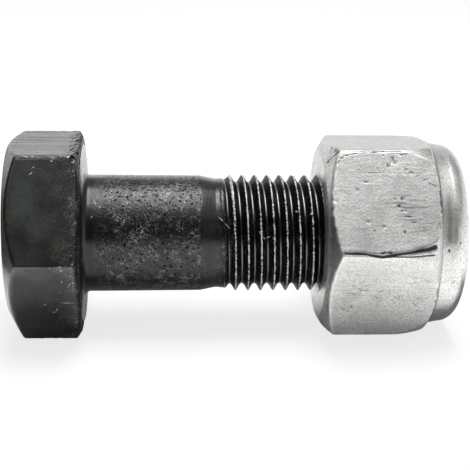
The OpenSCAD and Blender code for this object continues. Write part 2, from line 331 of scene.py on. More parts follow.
def outline_points(corners, divisions, bend_steps=4):
    """Points along outlines with rounded corners, the same number on each.

    `corners` holds, for each outline, rows of place along the axis, radius and rounding. A corner is
    a short curve that begins and ends its rounding away, or less where a straight is short.
    """
    place, cut = corners[..., :2], corners[..., 2].copy()
    step = place[:, 1:] - place[:, :-1]
    length = np.maximum(np.linalg.norm(step, axis=-1), 1e-9)
    direction = step / length[..., None]
    cut[:, 0] = cut[:, -1] = 0
    cut[:, 1:] = np.minimum(cut[:, 1:], 0.45 * length)
    cut[:, :-1] = np.minimum(cut[:, :-1], 0.45 * length)
    leave = place[:, :-1] + direction * cut[:, :-1, None]
    arrive = place[:, 1:] - direction * cut[:, 1:, None]
    rows = []
    for k in range(step.shape[1]):
        share = np.linspace(0, 1, divisions[k] + 1)[None, :, None]
        rows.append(leave[:, k, None] + (arrive[:, k] - leave[:, k])[:, None] * share)
        if k + 1 < step.shape[1]:
            s = np.linspace(0, 1, bend_steps + 1)[None, 1:-1, None]
            a, b, c = arrive[:, k, None], place[:, k + 1, None], leave[:, k + 1, None]
            rows.append((1 - s) ** 2 * a + 2 * s * (1 - s) * b + s**2 * c)
    return np.concatenate(rows, axis=1)


def around_axis(angles, outlines):
    """Points and faces of outlines that stand at their angles round the axis, joined into a skin."""
    x, r = outlines[..., 0], outlines[..., 1]
    turn = np.asarray(angles)[:, None]
    points = np.stack([x, r * np.cos(turn), r * np.sin(turn)], axis=-1)
    rows, columns = x.shape
    t, k = np.meshgrid(np.arange(rows), np.arange(columns - 1), indexing="ij")
    here, there = t * columns + k, (t + 1) % rows * columns + k
    faces = np.stack([here, there, there + 1, here + 1], axis=-1)
    return points.reshape(-1, 3), faces.reshape(-1, 4)


def turned_skin(angles, rows, bends, steps, origin=0.0, bend_steps=4):
    """A skin from rows of place and radius, which may change with the angle, and their roundings."""
    corners = []
    for (place, radius), bend in zip(rows, bends):
        corners.append(np.stack(np.broadcast_arrays(place + origin, radius, bend * MM, angles)[:3], axis=-1))
    return around_axis(angles, outline_points(np.stack(corners, axis=1), steps, bend_steps))


def hexagon_radius(turn, apothem, rounding):
    """Radius of a hexagon with rounded corners, at an angle from one of them."""
    off = np.abs((turn + HALF_SECTOR) % SECTOR - HALF_SECTOR)
    centre = (apothem - rounding) / math.cos(HALF_SECTOR)
    flat = apothem / np.cos(HALF_SECTOR - off)
    bend = centre * np.cos(off) + np.sqrt(np.maximum(rounding**2 - (centre * np.sin(off)) ** 2, 0))
    return np.where(off < bend_half_angle(apothem, rounding), bend, flat)


def bend_half_angle(apothem, rounding):
    """Half the angle that the rounding of a hexagon's corner takes up, seen from the centre."""
    return HALF_SECTOR - math.atan((apothem - rounding) * math.tan(HALF_SECTOR) / apothem)


def hexagon_angles(apothem, rounding, spacing, bend_lines):
    """Angles from a hexagon's first corner: close together on the corners, evenly on the flats."""
    half = bend_half_angle(apothem, rounding)
    flat = 2 * (apothem - rounding) * math.tan(HALF_SECTOR)
    along = np.linspace(-flat / 2, flat / 2, round(flat / spacing) + 1)[1:-1]
    sector = [np.linspace(-half, half, bend_lines), HALF_SECTOR + np.arctan(along / apothem)]
    return np.concatenate([part + k * SECTOR for k in range(6) for part in sector])


def helical_skin(t, start, end, steps, radius_at):
    """Points and faces of a skin whose rows follow a right-hand helix, between two flat ends.

    `radius_at` takes the place along the axis and the distance from the nearest crest. The angle is
    counted from the lowest line.
    """
    columns = np.array(thread_columns(t))
    count = len(columns)
    first = t.first_crest + t.pitch * (math.floor((start - t.first_crest) / t.pitch) - 2)
    last = steps * (math.ceil((end - first) / t.pitch) + 2)
    i = np.arange(last + 1)[:, None]
    wanted = first + t.pitch * i / steps + columns[None, :]
    x = np.clip(wanted, start, end)
    from_crest = nearest_crest(columns[None, :] + x - wanted, t.pitch)
    r = radius_at(x, from_crest)
    turn = (i % steps) * (FULL_TURN / steps) - math.pi / 2
    points = np.stack([x, r * np.cos(turn), r * np.sin(turn)], axis=-1).reshape(-1, 3)
    rows = np.arange(last)
    faces = []
    for j in range(count - 1):
        a = rows * count + j
        faces.append(np.stack([a, a + count, a + count + 1, a + 1], axis=-1))
    near = rows[: last - steps]
    a, d = near * count + count - 1, (near + steps) * count
    faces.append(np.stack([a, a + count, d + count, d], axis=-1))
    faces = np.concatenate(faces)
    height = points[faces][..., 0]
    flat = (height.max(axis=1) - height.min(axis=1)) < 1e-12
    return points, faces[~flat]


def nearest_crest(behind, pitch):
    """Distance from the nearest crest, from the distance behind one of them."""
    return np.abs((behind + pitch / 2) % pitch - pitch / 2)


def thread_columns(t):
    """Places across one pitch where a thread's skin bends, from the middle of one root to the next."""
    crest, root = t.crest_w / 2, (t.pitch - t.root_w) / 2
    half = [share * crest for share in (0.3, 0.8, 1.4, 2.2)]
    half += [crest + share * (root - crest) for share in (0.4, 0.62, 0.75, 0.88)]
    half += [root + share * t.root_w for share in (0, 0.26, 0.49)]
    return [-v for v in reversed(half)] + half


def soft_lower(a, b, softness):
    """The lower of two values, with a rounded changeover."""
    blend = np.clip(0.5 + 0.5 * (b - a) / softness, 0, 1)
    return b + (a - b) * blend - softness * blend * (1 - blend)


def thread_radius(from_crest, crest_r, root_r, crest_w, root_bend):
    """Radius of a 60 degree thread with a softened crest and a rounded root."""
    flank = crest_r - (from_crest - crest_w / 2) / math.tan(FLANK_ANGLE)
    shape = soft_lower(np.full_like(flank, crest_r), flank, CREST_BEND)
    return -soft_lower(-shape, np.full_like(shape, -root_r), root_bend)


# Meshes and their wear


def new_mesh(name, skins):
    """A mesh from several skins of points and faces, with points that coincide merged."""
    points, faces, base = [], [], 0
    for skin_points, skin_faces in skins:
        points.append(skin_points)
        faces.append(skin_faces + base)
        base += len(skin_points)
    mesh = bpy.data.meshes.new(name)
    mesh.from_pydata(np.concatenate(points).tolist(), [], np.concatenate(faces).tolist())
    solid = bmesh.new()
    solid.from_mesh(mesh)
    bmesh.ops.remove_doubles(solid, verts=solid.verts, dist=MERGE_WITHIN)
    bmesh.ops.dissolve_degenerate(solid, edges=solid.edges, dist=MERGE_WITHIN)
    loose = [v for v in solid.verts if not v.link_faces]
    bmesh.ops.delete(solid, geom=loose, context="VERTS")
    solid.to_mesh(mesh)
    solid.free()
    mesh.shade_smooth()
    return mesh


def vectors_of(items, key):
    """One vector for each of a mesh's points or normals, as an array."""
    flat = np.empty(len(items) * 3)
    items.foreach_get(key, flat)
    return flat.reshape(-1, 3)


def round_axis(co):
    """Each point's angle about the axis, and its distance from the axis."""
    return np.arctan2(co[:, 2], co[:, 1]), np.hypot(co[:, 1], co[:, 2])


def keep(mesh, **marks):
    """Keeps one number for each point under each name that the materials read."""
    for name, values in marks.items():
        layer = mesh.attributes.get(name) or mesh.attributes.new(name, "FLOAT", "POINT")
        layer.data.foreach_set("value", np.asarray(values, dtype=np.float32))


def attribute_values(mesh, name):
    """The numbers kept under a name, one for each point."""
    values = np.empty(len(mesh.vertices), dtype=np.float32)
    mesh.attributes[name].data.foreach_get("value", values)
    return values


def sharpness(mesh):
    """How sharply the surface bends outwards at each point, as one over a radius in metres."""
    co, normal = vectors_of(mesh.vertices, "co"), vectors_of(mesh.vertex_normals, "vector")
    pairs = np.empty(len(mesh.edges) * 2, dtype=np.int64)
    mesh.edges.foreach_get("vertices", pairs)
    a, b = pairs.reshape(-1, 2).T
    apart = co[b] - co[a]
    bend = ((normal[b] - normal[a]) * apart).sum(1) / np.maximum((apart**2).sum(1), 1e-12)
    most = np.zeros(len(co))
    np.maximum.at(most, a, bend)
    np.maximum.at(most, b, bend)
    return most


def roughness_field(co, scale, octaves, seed):
    """Noise from 0 to 1 at each point, with details `scale` metres across and finer."""
    shift = Vector((seed * 7.13, seed * 3.71, seed * 5.37))
    return np.array([0.5 + 0.5 * noise.fractal(Vector(p) / scale + shift, 0.8, 2.0, octaves) for p in co])


def falloff(squares):
    """How strong a mark still is, from 1 at its middle down, by the square of the distance."""
    return np.exp(-np.clip(squares, 0, 40) * 1.4)


def dent(co, marks, origin=0.0):
    """How far marks press each point in, and how strongly each point is marked, from 0 to 1."""
    turn, radius = round_axis(co)
    pressed, marked = np.zeros(len(co)), np.zeros(len(co))
    for x, angle, length, width, depth, slant in marks:
        along = (co[:, 0] - origin) / MM - x
        across = ((turn - math.radians(angle) + math.pi) % FULL_TURN - math.pi) * radius / MM
        c, s = math.cos(math.radians(slant)), math.sin(math.radians(slant))
        u, v = (along * c + across * s) / length, (across * c - along * s) / width
        strength = falloff(u * u + v * v)
        pressed += depth * MM * strength
        marked = np.maximum(marked, strength)
    return pressed, marked


def fold(co, path, origin=0.0):
    """How far a fold along a path presses each point in, and how strongly it marks the point."""
    turn, radius = round_axis(co)
    around, along = np.degrees(turn) % 360, (co[:, 0] - origin) / MM
    pressed, marked = np.zeros(len(co)), np.zeros(len(co))
    for (x0, a0, w0, d0), (x1, a1, w1, d1) in zip(path, path[1:]):
        share = np.clip((along - x0) / (x1 - x0), 0, 1)
        across = np.radians(around - (a0 + (a1 - a0) * share)) * radius / MM
        beyond = along - (x0 + (x1 - x0) * share)
        strength = falloff((across**2 + beyond**2) / (w0 + (w1 - w0) * share) ** 2)
        pressed = np.maximum(pressed, strength * (d0 + (d1 - d0) * share) * MM)
        marked = np.maximum(marked, strength)
    return pressed, marked


def mark_edges(mesh, radius, share=1.0):
    """Keeps how much of an edge each point is, against a radius that counts as sharp."""
    keep(mesh, edge=np.clip(sharpness(mesh) * radius - EDGE_FROM, 0, 1) * share)


def wear_mesh(mesh, pressed, waves, chips, seed):
    """Presses worn places, low waves and chipped edges into a mesh."""
    co, normal = vectors_of(mesh.vertices, "co"), vectors_of(mesh.vertex_normals, "vector")
    for size, depth, octaves in waves:
        pressed = pressed + depth * MM * roughness_field(co, size * MM, octaves, seed + size)
    size, depth = chips
    chipped = np.clip(4 * roughness_field(co, size * MM, 3, seed + 11) - 1.7, 0, 1)
    pressed = pressed + depth * MM * np.minimum(2 * attribute_values(mesh, "edge"), 1) * chipped
    co -= normal * pressed[:, None]
    mesh.vertices.foreach_set("co", co.ravel())
    mesh.update()


def place_piece(mesh, body, nodes, material):
    """Puts a finished mesh into the scene, on its body and in place of its CAD nodes."""
    piece = bpy.data.objects.new(mesh.name, mesh)
    bpy.context.scene.collection.objects.link(piece)
    mesh.materials.append(material)
    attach(piece, body)
    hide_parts(*nodes)


# Material nodes


def set_inputs(node, inputs):
    """Sets a node's plain inputs and links the others."""
    for key, value in inputs.items():
        if isinstance(value, bpy.types.NodeSocket):
            node.id_data.links.new(value, node.inputs[key])
        else:
            node.inputs[key].default_value = value


def add_node(tree, kind, inputs=None, **settings):
    """A node with its settings made and its inputs set or linked."""
    made = tree.nodes.new(kind)
    for key, value in settings.items():
        setattr(made, key, value)
    set_inputs(made, inputs or {})
    return made


def linked(kind, inputs, **settings):
    """What comes out of a new node that stands in the tree of the values linked to it."""
    tree = next(value.id_data for value in inputs.values() if isinstance(value, bpy.types.NodeSocket))
    return add_node(tree, kind, inputs, **settings).outputs[0]


def emptied(owner):
    """The node tree of a material or world, with nothing in it."""
    owner.use_nodes = True
    owner.node_tree.nodes.clear()
    return owner.node_tree


def noise_value(place, scale, detail=3.0, rough=0.5, warp=0.0):
    inputs = {"Vector": place, "Scale": scale, "Detail": detail, "Roughness": rough, "Distortion": warp}
    return linked("ShaderNodeTexNoise", inputs)


def noise_of(place, kind):
    return noise_value(place, *NOISES[kind])


def between(value, low, high, to_low=0.0, to_high=1.0):
    """A value's share of the way from low to high, kept within 0 and 1, on another scale."""
    inputs = {"Value": value, "From Min": low, "From Max": high, "To Min": to_low, "To Max": to_high}
    return linked("ShaderNodeMapRange", inputs)


def spots(place, kind):
    """Soft-edged spots of one kind, where a noise lies high."""
    scale, detail, low, high, *most = SPOTS[kind]
    return between(noise_value(place, scale, detail), low, high, 0.0, *most)


def shaded(colour, share):
    return [min(1.0, share * value) for value in colour[:3]]


def blend_colour(share, a, b):
    """A colour between two others, each plain or the output of a node."""
    a, b = (v if isinstance(v, bpy.types.NodeSocket) else (*v[:3], 1) for v in (a, b))
    made = add_node(share.id_data, "ShaderNodeMix", {0: share, 6: a, 7: b}, data_type="RGBA")
    return made.outputs[2]


def maths(operation, a, *others):
    """An operation on a value and the others in turn, or on the value alone."""
    if not others:
        return linked("ShaderNodeMath", {0: a}, operation=operation)
    for b in others:
        a = linked("ShaderNodeMath", {0: a, 1: b}, operation=operation)
    return a


def times(*values):
    return maths("MULTIPLY", *values)


def highest(*values):
    return maths("MAXIMUM", *values)


def stretched(place, scale):
    """The place with each axis scaled, so that a noise in it is drawn out along the short ones."""
    return linked("ShaderNodeMapping", {"Vector": place, "Scale": scale})


def stored(tree, name):
    return add_node(tree, "ShaderNodeAttribute", attribute_name=name).outputs["Fac"]


def level_lines(place, scale, width, share, fade):
    """Thin curls: the lines along which a noise crosses its middle, kept only in patches."""
    off = maths("SUBTRACT", noise_value(place, scale, 1.5, 0.5, 0.4), 0.5)
    line = between(maths("ABSOLUTE", off), width, width * 0.35)
    patch = between(noise_value(place, scale * 0.37, 2.0), 1 - share, 1 - share + fade)
    return times(line, patch)


def wobbled(place, scale, amount):
    """The place, shaken a little by a noise, so that drawn strokes aren't ruler straight."""
    inputs = {"Vector": place, "Scale": scale, "Detail": 2.0}
    shake = add_node(place.id_data, "ShaderNodeTexNoise", inputs).outputs["Color"]
    inputs = {0: shake, 1: (amount,) * 3, 2: place}
    reach = linked("ShaderNodeVectorMath", inputs, operation="MULTIPLY_ADD")
    inputs = {0: reach, 1: (amount / 2,) * 3}
    return linked("ShaderNodeVectorMath", inputs, operation="SUBTRACT")


def stroke(place, point, normal, slant, size):
    """1 within a long, thin, soft-edged body that lies on the surface at a point, else 0."""
    axis = Vector((1, 0, 0))
    along = axis * math.cos(slant) - normal.cross(axis).normalized() * math.sin(slant)
    turned = Matrix((along, normal.cross(along), normal)).transposed().to_euler()
    half = [value / 2 for value in size]
    inputs = {"Vector": place, "Location": point, "Rotation": turned, "Scale": half}
    local = linked("ShaderNodeMapping", inputs, vector_type="TEXTURE")
    off = add_node(local.id_data, "ShaderNodeVectorMath", {0: local}, operation="LENGTH").outputs["Value"]
    return between(off, 1.0, STROKE_CORE)


def strokes_on(place, marks, surface, depth):
    """The strokes of one list, joined. `surface` gives the radius and the facing at a place."""
    made = []
    for x, angle, length, width, slant in marks:
        turn = math.radians(angle)
        radius, facing = surface(x, turn)
        point = Vector((x * MM, radius * math.cos(turn), radius * math.sin(turn)))
        normal = Vector((0, math.cos(facing), math.sin(facing)))
        made.append(stroke(place, point, normal, math.radians(slant), (length * MM, width * MM, depth)))
    return highest(*made)


def on_hexagon(turn, apothem, rounding, turned=0.0):
    """Radius of a hexagon at an angle, and the direction that its flat faces there."""
    facing = SECTOR * round((turn - turned) / SECTOR - 0.5) + HALF_SECTOR + turned
    return float(hexagon_radius(turn - turned, apothem, rounding)), facing


def on_bolt(sizes):
    """Radius and facing of the bolt's head and shank at a place."""

    def surface(x, turn):
        if x < 0:
            return on_hexagon(turn, sizes.head_af / 2, sizes.head_bend)
        return sizes.shank_d / 2, turn

    return surface


def on_nut(sizes):
    """Radius and facing of the nut's hexagon at a place."""

    def surface(x, turn):
        return on_hexagon(turn, sizes.af / 2, sizes.bend, sizes.turn)

    return surface


def line_strokes(lines, sizes):
    """Strokes that follow lines on the nut, one for each stretch between two points."""
    reach = sizes.af / 2 / math.cos(HALF_SECTOR) / MM
    rows = []
    for width, path in lines:
        for (x0, a0), (x1, a1) in zip(path, path[1:]):
            along, across = x1 - x0, math.radians(a1 - a0) * reach
            length = 1.25 * math.hypot(along, across)
            slant = math.degrees(math.atan2(across, along))
            rows.append((sizes.at / MM + (x0 + x1) / 2, (a0 + a1) / 2, length, width, slant))
    return rows


def new_material(name):
    """A material with its Principled shader, and the place on the piece."""
    material = bpy.data.materials.new(name)
    tree = emptied(material)
    shader = add_node(tree, "ShaderNodeBsdfPrincipled")
    add_node(tree, "ShaderNodeOutputMaterial", {"Surface": shader.outputs[0]})
    place = add_node(tree, "ShaderNodeTexCoord").outputs["Object"]
    return material, tree, shader, place


def bumped(height, strength, depth):
    inputs = {"Height": height, "Strength": strength, "Distance": depth * MM}
    return linked("ShaderNodeBump", inputs)


def black_steel(settings, sizes):
    """Steel with a thin black finish: clouded, speckled with fine nicks, bare on its edges, and with painted
    reflection in its thread's roots.
    """
    material, tree, shader, place = new_material("black_steel")
    cloud, grain = noise_of(place, "black cloud"), noise_of(place, "grain")
    speckled, hazy = stored(tree, "speck"), stored(tree, "haze")
    haze = times(hazy, between(cloud, 0.34, 0.68, 0.35, 1.0))
    skin = blend_colour(haze, shaded(settings.black_colour, 0.7), settings.haze_colour)
    brown = highest(times(spots(place, "brown"), hazy), stored(tree, "stain"))
    skin = blend_colour(brown, skin, STAIN_BROWN)
    # Painted reflection: the thread's roots are painted pale, brighter or darker by the angle, in place of
    # the light that they reflect.
    skin = blend_colour(stored(tree, "root"), skin, settings.root_sheen_colour)
    # Fine nicks all over, and metal that lies bare on edges, in flecks, strokes and rubbed places.
    dots = times(spots(place, "dots"), spots(place, "dotted"))
    curls = [level_lines(place, *row) for row in BLACK_CURLS]
    nicks = times(highest(dots, highest(*curls)), speckled)
    skin = blend_colour(times(nicks, 0.7), skin, settings.nick_colour)
    edge = stored(tree, "edge")
    uneven = times(maths("SUBTRACT", noise_of(place, "edge"), 0.5), 2.2)
    worn = between(maths("ADD", edge, uneven), 0.42, 0.66)
    edge = times(worn, between(edge, 0.0, 0.15))
    flecks = times(spots(place, "flecks"), stored(tree, "fleck"), spots(place, "flecked"))
    edge = times(highest(edge, flecks), settings.edge_wear)
    shaken = wobbled(place, *BOLT_SHAKE)
    strokes = strokes_on(shaken, BOLT_STROKES, on_bolt(sizes), BOLT_STROKE_DEPTH)
    strokes = times(strokes, between(grain, 0.25, 0.5, 0.4, 0.85))
    rubbed = times(stored(tree, "bare"), between(grain, 0.3, 0.5, 0.5, 1.0))
    bare = highest(edge, strokes, rubbed)
    colour = blend_colour(bare, skin, settings.bare_colour)
    # Dark scores: long ones, hatching, the deepest by themselves, and tiny pocks.
    drawn = spots(stretched(place, SCORE_GRAIN), "drawn")
    inputs = {"Vector": place, "Rotation": (0, 0, HATCH_SLANT), "Scale": HATCH_GRAIN}
    slanted = linked("ShaderNodeMapping", inputs, vector_type="TEXTURE")
    scores = highest(
        times(drawn, stored(tree, "score")),
        times(spots(slanted, "hatch"), stored(tree, "hatch")),
        strokes_on(shaken, HEAD_SCORES, on_bolt(sizes), SCORE_DEPTH),
        times(spots(place, "pocked"), speckled),
    )
    flank, open_metal = stored(tree, "flank"), highest(nicks, bare)
    gone = highest(times(flank, 0.75), times(scores, 0.95), times(bare, 0.8))
    rough = between(highest(open_metal, flank), 0.0, 1.0, 0.0, 0.3)
    dull = maths("ADD", between(cloud, 0.3, 0.75, 0.26, 0.38), rough)
    sand = times(noise_of(place, "fine grain"), between(speckled, 0.0, 1.0, 0.2, 2.0))
    height = maths("ADD", times(grain, 0.25), sand)
    bump = bumped(maths("SUBTRACT", height, times(open_metal, 0.3), scores), 0.8, 0.026)
    finish = {
        "Base Color": blend_colour(times(scores, 0.9), colour, SCORE_BLACK),
        "Metallic": between(open_metal, 0.0, 1.0, 1.0, 0.35),
        "Roughness": highest(dull, times(scores, 0.95)),
        "Normal": bump,
        "Coat Weight": maths("SUBTRACT", 1.0, gone),
        "Coat Roughness": 0.21,
        "Coat IOR": 1.42,
        "Coat Normal": bump,
    }
    set_inputs(shader, finish)
    return material


def zinc_plate(settings, sizes):
    """Bright zinc: sandy, mottled and finely scratched, with dark pits, painted highlights on its edges,
    painted shade in its creases and a painted reflection on its collar.
    """
    material, tree, shader, place = new_material("zinc_plate")
    zinc, pit_and_shade = settings.zinc_colour, settings.pit_and_shade_colour
    cloud, mottle, sand = [noise_of(place, kind) for kind in ("zinc cloud", "mottle", "sand")]
    brushed = noise_value(stretched(place, BRUSH_GRAIN), 1.0, 3.0, 0.6)
    skin = blend_colour(between(cloud, 0.32, 0.68), shaded(zinc, 0.84), shaded(zinc, 1.07))
    dulled = [(mottle, 0.57, 0.74, 0.5), (sand, 0.46, 0.64, 0.9), (brushed, 0.54, 0.70, 0.75)]
    for value, low, high, most in dulled:
        skin = blend_colour(between(value, low, high, 0.0, most), skin, shaded(zinc, 0.62))
    # The duller band on the chamfer, and the painted reflection streaks on the collar.
    skin = blend_colour(stored(tree, "turned"), skin, shaded(zinc, 0.42))
    heavy = times(between(brushed, 0.50, 0.62, 0.0, 0.7), stored(tree, "brushed"))
    skin = blend_colour(heavy, skin, shaded(zinc, 0.22))
    curls = level_lines(stretched(place, CURL_GRAIN), *ZINC_CURLS)
    curls = times(curls, stored(tree, "cracked"))
    skin = blend_colour(times(curls, 0.75), skin, pit_and_shade)
    # Painted highlights on the edges and painted glints, then dark pits, torn metal, drawn lines and creases,
    # the creases with painted shade.
    shaken = wobbled(place, *NUT_SHAKE)
    glints = [(x + sizes.at / MM, *row) for x, *row in NUT_GLINTS]
    edge_highlight = times(stored(tree, "edge"), between(mottle, 0.42, 0.66))
    edge_highlight = highest(edge_highlight, strokes_on(shaken, glints, on_nut(sizes), NUT_STROKE_DEPTH))
    skin = blend_colour(edge_highlight, skin, HIGHLIGHT_WHITE)
    drawn = strokes_on(shaken, line_strokes(NUT_LINES, sizes), on_nut(sizes), NUT_STROKE_DEPTH)
    pits = times(spots(place, "pits"), spots(place, "pitted"))
    # Dark marks: real pits, marks, torn metal and drawn lines, and painted shade in the creases.
    dark = highest(
        times(pits, 0.7),
        times(between(stored(tree, "mark"), 0.15, 0.6), spots(place, "torn")),
        between(stored(tree, "crease"), 0.15, 0.6),
        times(drawn, between(sand, 0.35, 0.55, 0.55, 1.0)),
    )
    dull = between(cloud, 0.3, 0.7, 0.30, 0.40)
    height = maths("ADD", times(mottle, 0.5), times(sand, 0.6), times(brushed, 0.3))
    height = maths("SUBTRACT", height, times(highest(dark, curls), 0.6))
    finish = {
        "Base Color": blend_colour(dark, skin, pit_and_shade),
        "Metallic": between(edge_highlight, 0.0, 1.0, 1.0, 0.25),
        "Roughness": maths("ADD", dull, between(mottle, 0.4, 0.7, -0.03, 0.08)),
        "Normal": bumped(height, 0.6, 0.055),
    }
    set_inputs(shader, finish)
    return material


def pale_nylon(settings):
    """Natural nylon: pale, slightly waxy, with faint turning lines."""
    material, tree, shader, place = new_material("pale_nylon")
    nylon, cloud = settings.nylon_colour, noise_of(place, "nylon cloud")
    lines = noise_value(stretched(place, NYLON_GRAIN), 1.0, 2.0)
    finish = {
        "Base Color": blend_colour(between(cloud, 0.35, 0.65), shaded(nylon, 0.86), nylon),
        "Roughness": between(cloud, 0.3, 0.7, 0.42, 0.55),
        "Normal": bumped(lines, 0.25, 0.03),
    }
    set_inputs(shader, finish)
    return material


# Sizes and colours


def number(name, description, value, **limits):
    return bpy.props.FloatProperty(name=name, description=description, default=value, **limits)


def size(name, description, value):
    return number(name, description, value * MM, unit="LENGTH", subtype="DISTANCE", precision=5)


def angle(name, description, value):
    return number(name, description, math.radians(value), unit="ROTATION", subtype="ANGLE")


def share(name, description, value):
    return number(name, description, value, min=0, max=1, subtype="FACTOR")


def power(name, description, value):
    return number(name, description, value, min=0, unit="POWER")


def colour(name, description, value):
    return bpy.props.FloatVectorProperty(
        name=name, description=description, default=(*value, 1), size=4, min=0, max=1, subtype="COLOR"
    )


class ThreadSizes(bpy.types.PropertyGroup):
    """The thread that bolt and nut share."""

    pitch: size("Pitch", "Distance from one crest to the next", 1.5)
    crest_d: size("Crest diameter", "Diameter of the bolt over its crests", 13.9)
    root_d: size("Root diameter", "Diameter of the bolt at the bottom of its thread", 12.16)
    crest_w: size("Crest width", "Width of the flat on top of the thread", 0.14)
    root_w: size("Root width", "Width of the bottom of the thread", 0.25)
    play: size("Play", "Play between bolt and nut, along the radius", 0.12)
    first_crest: size("First crest", "Where a crest crosses the lowest line, from under the head", 0.06)


class BoltSizes(bpy.types.PropertyGroup):
    """The bolt's head, shank and tip."""

    head_af: size("Head across flats", "Width across the flats of the head", 22)
    head_h: size("Head height", "Height of the head with its washer face", 8.8)
    head_rim_d: size("Head rim", "Diameter of the flat end of the head", 20)
    rim_shift: size("Rim shift", "How much further out the rim lies towards the head's upper back", 0.45)
    end_lean: size("End lean", "How far the head's flat end leans in at its lower front", 0.2)
    head_bend: size("Head corners", "Rounding of the head's six corners", 0.35)
    chamfer: angle("Head chamfer", "Slope of the chamfer round the end of the head", 32)
    washer_d: size("Washer face", "Diameter of the washer face", 21)
    washer_h: size("Washer face height", "Height of the washer face", 0.15)
    relief_d: size("Corner relief", "Diameter from which the corners slope back", 23)
    relief: angle("Relief slope", "Slope of the corners beside the washer face", 23)
    shank_d: size("Shank diameter", "Diameter of the plain shank", 13.9)
    shank_l: size("Shank length", "Length of the plain shank", 13.7)
    shank_draft: size("Shank draft", "How much the shank narrows towards the thread", 0.16)
    fillet: size("Fillet", "Radius between head and shank", 0.8)
    taper: size("Taper", "Length over which the shank narrows", 1.8)
    neck: size("Neck", "Plain length before the thread", 0.7)
    lip: size("Lip", "How far the metal bulges where the thread begins", 0.05)
    blank_d: size("Blank diameter", "Diameter that the thread is rolled on", 13.026)
    run_out: size("Run-out", "Length over which the thread reaches its depth", 1.2)
    first_crest_w: size("First crest", "How much wider the first crest is", 0.45)
    length: size("Length", "Length under the head", 40)
    tip_d: size("Tip diameter", "Diameter of the flat end of the tip", 11.56)


class NutSizes(bpy.types.PropertyGroup):
    """The lock nut's hexagon, collar and openings."""

    at: size("Place", "Distance from under the head to the nut", 27.85)
    turn: angle("Turn", "Turn of the nut against the head", -5.5)
    af: size("Across flats", "Width across the flats of the nut", 22)
    bend: size("Corners", "Rounding of the nut's six corners", 0.65)
    dent_share: share("Dents", "How deep the nut's dents are pressed, as a share", 0.25)
    hex_h: size("Hexagon height", "Height of the hexagon", 12.9)
    face_d: size("Clamping face", "Diameter of the flat clamping face", 20.2)
    chamfer: angle("Chamfer", "Slope of the chamfer beside that face", 29)
    mouth_d: size("Mouth", "Diameter of the countersink", 14.8)
    crown_l: size("Crown length", "Length over which the corners are crowned", 5.4)
    crown_drop: size("Crown drop", "How far the crown takes the corners in", 0.8)
    crown_shift: size("Crown shift", "How much deeper the crown is on one side than at the middle", 0.2)
    shoulder_l: size("Shoulder", "Length from the crowned corners to the collar", 0.6)
    collar_d: size("Collar", "Diameter of the collar at the hexagon", 21.8)
    collar_l: size("Collar length", "Length of the nearly straight collar", 1.4)
    collar_draft: size("Collar draft", "How much the collar narrows there", 0.5)
    roll_l: size("Rolled end", "Length of the collar's rolled end", 2.1)
    roll_d: size("Rolled edge", "Diameter of the rolled end's outer edge", 17)
    lip_h: size("Lip", "Thickness of the lip", 0.6)
    lip_d: size("Lip opening", "Diameter of the opening in the lip", 16.2)
    pocket_d: size("Pocket diameter", "Diameter of the ring's pocket", 17.8)
    pocket_h: size("Pocket height", "Height of the ring's pocket", 2.7)


class RingSizes(bpy.types.PropertyGroup):
    """The nylon ring in the nut's pocket."""

    outer_d: size("Outer diameter", "Outer diameter of the ring", 17.7)
    bore_d: size("Bore", "Diameter of the ring's bore", 14.1)
    height: size("Height", "Height of the ring", 2.6)
    edge: size("Edge", "Rounding at the edges of the bore", 0.35)
    gap: size("Gap", "Gap between the ring and its pocket", 0.05)


class Finishes(bpy.types.PropertyGroup):
    """Colours of the finishes, and how worn they are."""

    black_colour: colour("Black finish", "Reflection of the black steel", (0.0125, 0.0135, 0.013))
    haze_colour: colour("Haze", "Colour of the hazy patches in the black finish", (0.118, 0.127, 0.118))
    bare_colour: colour("Bare steel", "Colour where the black is worn off", (0.85, 0.85, 0.82))
    # Painted reflection: this pale grey in the thread's roots stands in for the light that they reflect.
    root_sheen_colour: colour("Thread roots", "Colour of the thin black in the thread's roots", (0.42, 0.42, 0.41))
    nick_colour: colour("Fine nicks", "Colour of the fine nicks in the black finish", (0.45, 0.46, 0.45))
    zinc_colour: colour("Zinc", "Colour of the zinc plating", (0.91, 0.90, 0.885))
    # The same dark colour is used for the painted shade in the nut's creases.
    pit_and_shade_colour: colour("Pits", "Colour in the zinc's pits and scratches", (0.055, 0.06, 0.062))
    nylon_colour: colour("Nylon", "Colour of the ring", (0.82, 0.81, 0.76))
    edge_wear: share("Edge wear", "How bare the black steel's edges are", 0.9)


class StageSettings(bpy.types.PropertyGroup):
    """Camera, floor and lights."""

    distance: size("Camera distance", "Distance from the camera to the axis", 150.121)
    elevation: angle("Elevation", "How far the camera looks down", 17.764)
    yaw: angle("Yaw", "Turn of the camera towards the tip", 3.336)
    roll: angle("Roll", "Turn of the picture", -0.049)
    side: size("Sideways", "Camera's place along the axis", 9.206)
    lift: size("Lift", "Camera's shift upwards in the picture", -0.286)
    lens: number("Lens", "Focal length for a 36 mm wide square picture", 95.966, unit="CAMERA")
    floor_z: size("Floor", "Height of the floor under the axis", -11.58)
    softbox_power: power("Softbox", "Radiant power of the softbox overhead", 1.42)
    fill_power: power("Fill", "Radiant power of the lamp that only dull surfaces see", 1.75)
    surround: number("Surroundings", "Strength of the white surroundings as light", 0.35, min=0)
    halo_grey: share("Halo", "Brightness of the cloth close round the softbox", 0.6)
    canopy_grey: share("Canopy", "Brightness of the cloth behind the softbox", 0.29)
    shade_grey: share("Shade", "Brightness of the cloths overhead in front, and on the floor", 0.12)
    front_grey: share("Front cloth", "Brightness of the cloth on the camera's side", 0.05)
    right_grey: share("Right canopy", "Brightness of the cloth overhead beyond the nut", 0.42)
    left_grey: share("Left cloth", "Brightness of the cloth beyond the head", 0.05)


# The pieces


